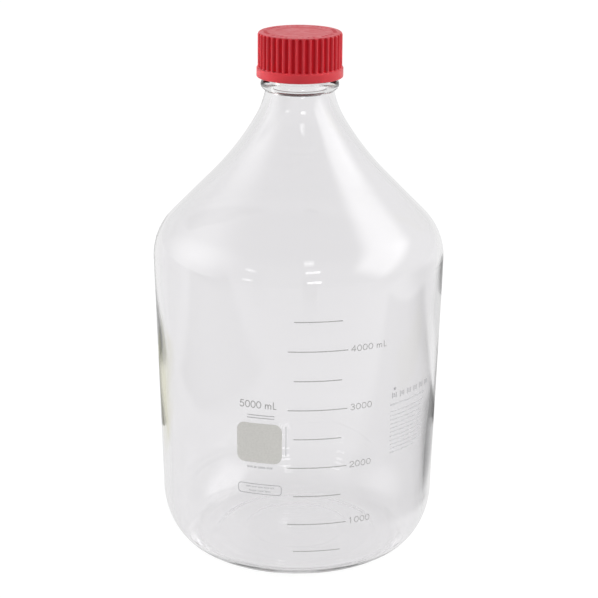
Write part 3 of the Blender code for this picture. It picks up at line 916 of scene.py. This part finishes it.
def build_labels(faint_ink, line_ink, panel_ink):
    lay_on_glass("writing_panel", [rounded_box(*PANEL, PANEL_CORNER)], panel_ink)
    grade = [bar(*GRADE_BAR, z, GRADE_BAR_HEIGHT) for z in GRADE_BAR_ROWS]
    lay_on_glass("grade_bar", grade, faint_ink)
    lay_on_glass("type_bar", words(*TYPE_BAR, 2), line_ink)
    lay_on_glass("side_bar", [bar(*SIDE_BAR)], line_ink)

    left, right, bottom, top = CODE_FRAME
    outer = rounded_box(left, right, bottom, top, CODE_CORNER)
    edges = (left + CODE_RIM, right - CODE_RIM, bottom + CODE_RIM, top - CODE_RIM)
    inner = rounded_box(*edges, CODE_CORNER - CODE_RIM)
    rim = [list(quad) for quad in zip(outer, outer[1:] + outer[:1], inner[1:] + inner[:1], inner)]
    rim = [quad for quad in rim if Vector(quad[0]) != Vector(quad[1])]
    lay_on_glass("code_frame", rim, faint_ink)
    lay_on_glass("code_bar_upper", words(*CODE_BAR_UPPER, 5), line_ink)
    lay_on_glass("code_bar_lower", words(*CODE_BAR_LOWER, 1), line_ink)


def build_notice(heading_ink, line_ink):
    """A dot over a row of upright strokes, and a block of fine broken lines under them."""
    lay_on_glass("notice_dot", [arc(NOTICE_DOT, NOTICE_DOT_RADIUS, 0, 345, 23)], heading_ink)
    strokes = []
    for i in range(NOTICE_MARKS):
        x = NOTICE_LEFT + 1.4 + NOTICE_MARK_PITCH * i
        for across, height in NOTICE_STROKES:
            strokes.append(bar(x + across, x + across + 0.8, NOTICE_HEADING_Z, height))
    lay_on_glass("notice_heading", strokes, heading_ink)
    lines = words(NOTICE_LEFT, NOTICE_RIGHT + 1.0, NOTICE_TOP, 1.2, 4)
    for row in range(NOTICE_ROWS):
        end = NOTICE_RIGHT - 2.0 * (row % 3) - (8.0 if row == NOTICE_ROWS - 1 else 0.0)
        z = NOTICE_TOP - 4.6 - NOTICE_PITCH * row
        lines += words(NOTICE_LEFT + 0.4, end, z, 0.8, row)
    lay_on_glass("notice_lines", lines, line_ink)


# --- Stage, lights and camera -----------------------------------------------------------


def floor_patch(nodes, place, centre, half, soft):
    """1 inside a rectangle on the floor, fading to 0 over the soft width at its edge."""
    inside = 1.0
    for axis, middle, reach in zip(((1.0, 0.0, 0.0), (0.0, 1.0, 0.0)), centre, half):
        away = nodes.maths("ABSOLUTE", nodes.maths("SUBTRACT", nodes.along(place, axis), middle))
        inside = nodes.maths("MULTIPLY", nodes.fade(away, 1.0, 0.0, reach - soft, reach), inside)
    return inside


def build_stage():
    """A wide white floor. The glass shows it greyer, dimmer in front and with three soft patches."""
    bpy.ops.mesh.primitive_circle_add(vertices=96, radius=STAGE_RADIUS, fill_type="NGON")
    floor = bpy.context.object
    floor.location = (0.0, 0.0, -STAGE_DROP)
    floor.name = "floor"
    finish = Finish("floor_paper", (0.12, 0.12, 0.12), 0.9)
    finish.set("Specular IOR Level", 0.0)
    place = finish.place
    warm = floor_patch(finish, place, *WARM_CARD)
    off_card = finish.unseen(finish.maths("SUBTRACT", 1.0, warm))
    finish.drive("Emission Color", finish.colours(off_card, (0.0, WARM), (1.0, (1.0, 1.0, 1.0))))
    glow = finish.fade(finish.along(place, (0.0, 1.0, 0.0)), FLOOR_IN_FRONT, 1.0, -0.50, -0.12)
    for card, brightness in ((DARK_CARD, DARK_CARD_GLOW), (GREY_CARD, GREY_CARD_GLOW)):
        patch = floor_patch(finish, place, *card)
        glow = finish.maths("MULTIPLY", glow, finish.fade(patch, 1.0, brightness, 0.0, 1.0))
    shade = finish.fade(finish.distance(place), SHADE_OF_BOTTLE, 1.0, 0.10, 0.60)
    glow = finish.maths("MULTIPLY", finish.maths("MULTIPLY", glow, shade), BACKDROP)
    finish.drive("Emission Strength", finish.maths("MULTIPLY", finish.unseen(glow), FLOOR_GLOW))
    floor.data.materials.append(finish.material)


def softbox(nodes, direction, turn, lift, lean, width, height, soft, strength):
    """The glow of a soft rectangle of light, turned to the right of -Y, lifted and leant."""
    turn, lift, lean = (math.radians(angle) for angle in (turn, lift, lean))
    level = Vector((math.sin(turn), -math.cos(turn), 0.0)) * math.cos(lift)
    centre = level + Vector((0.0, 0.0, math.sin(lift)))
    across = Vector((math.cos(turn), math.sin(turn), 0.0))
    upward = centre.cross(across) * -1.0
    axis_u = across * math.cos(lean) + upward * math.sin(lean)
    axis_v = upward * math.cos(lean) - across * math.sin(lean)
    ahead = nodes.along(direction, centre)
    inside = nodes.fade(ahead, 0.0, 1.0, 0.0, 0.1)
    for axis, size in ((axis_u, width), (axis_v, height)):
        offset = nodes.maths("ABSOLUTE", nodes.maths("DIVIDE", nodes.along(direction, axis), ahead))
        half = math.tan(math.radians(size / 2.0))
        edge = nodes.fade(offset, 1.0, 0.0, half * (1.0 - soft), half)
        inside = nodes.maths("MULTIPLY", inside, edge)
    return nodes.maths("MULTIPLY", inside, strength)


def build_world():
    """A white room. The glass shows it greyer, dim in front and above, with its lights all round."""
    world = bpy.data.worlds.new("studio")
    bpy.context.scene.world = world
    world.use_nodes = True
    nodes = Nodes(world.node_tree)
    nodes.tree.nodes.clear()
    direction = nodes.node("TexCoord").outputs["Generated"]
    front = nodes.fade(nodes.along(direction, (0.0, 1.0, 0.0)), ROOM_IN_FRONT, 1.0, -0.50, 0.15)
    above = nodes.fade(nodes.along(direction, (0.0, 0.0, 1.0)), 1.0, ROOM_ABOVE, 0.50, 0.95)
    glow = nodes.maths("MULTIPLY", nodes.maths("MULTIPLY", front, above), BACKDROP)
    for box in SOFTBOXES:
        glow = nodes.maths("ADD", glow, softbox(nodes, direction, *box))
    background = nodes.node("Background")
    background.inputs["Color"].default_value = (1.0, 1.0, 1.0, 1.0)
    nodes.link(nodes.unseen(glow), background.inputs["Strength"])
    nodes.link(background.outputs["Background"], nodes.node("OutputWorld").inputs["Surface"])


def hang_lamp(name, light, place, target):
    """Hangs a lamp that lights what is solid and isn't mirrored in the glass."""
    lamp = bpy.data.objects.new(name, light)
    lamp.location = place
    lamp.rotation_euler = (Vector(target) - Vector(place)).to_track_quat("-Z", "Y").to_euler()
    lamp.visible_glossy = False
    lamp.visible_transmission = False
    bpy.context.scene.collection.objects.link(lamp)


def add_lamp(name, place, size, power):
    light = bpy.data.lights.new(name, "AREA")
    light.shape = "RECTANGLE"
    light.size, light.size_y = size
    light.energy = power
    hang_lamp(name, light, place, LAMP_TARGET)


def add_spot(name, place, power):
    """A narrow soft lamp that reaches the cap only."""
    light = bpy.data.lights.new(name, "SPOT")
    light.spot_size = math.radians(SPOT_CONE)
    light.spot_blend = 0.5
    light.shadow_soft_size = 0.12
    light.energy = power
    hang_lamp(name, light, place, SPOT_TARGET)


def build_lights():
    for lamp in LAMPS:
        add_lamp(*lamp)
    for spot in CAP_SPOTS:
        add_spot(*spot)


def build_camera():
    """In front of the scale and above the cap, looking down at the bottle."""
    data = bpy.data.cameras.new("camera")
    data.lens = CAMERA_LENS
    data.sensor_width = 36.0
    data.clip_end = 60.0
    camera = bpy.data.objects.new("camera", data)
    tilt = Matrix.Rotation(math.radians(90.0 - CAMERA_TILT), 4, "X")
    roll = Matrix.Rotation(math.radians(CAMERA_ROLL), 4, "Z")
    camera.matrix_world = Matrix.Translation(CAMERA_PLACE) @ tilt @ roll
    bpy.context.scene.collection.objects.link(camera)
    bpy.context.scene.camera = camera


def main():
    scene = bpy.context.scene
    scene.view_settings.view_transform = "Standard"
    # The default bounces leave black patches, where light is reflected many times inside the wall.
    scene.cycles.max_bounces = BOUNCES
    scene.cycles.glossy_bounces = GLOSSY_BOUNCES
    scene.cycles.transmission_bounces = BOUNCES
    build_stage()
    build_world()
    build_lights()
    build_camera()

    build_glass(glass_finish())
    build_cap(cap_finish())
    build_seal(silicone_finish(), ptfe_finish())
    build_pour_ring(ring_finish())
    ink = enamel_finish("white_enamel", (0.40, 0.40, 0.40), (0.47, 0.47, 0.46))
    faint_ink = enamel_finish("thin_enamel", (0.46, 0.46, 0.47), (0.53, 0.53, 0.54))
    panel_ink = enamel_finish("panel_enamel", (0.64, 0.63, 0.60), (0.69, 0.68, 0.65), 0.62)
    line_ink = enamel_finish("fine_enamel", (0.62, 0.62, 0.63), (0.68, 0.68, 0.69))
    build_scale(ink)
    build_labels(faint_ink, line_ink, panel_ink)
    build_notice(faint_ink, line_ink)


main()
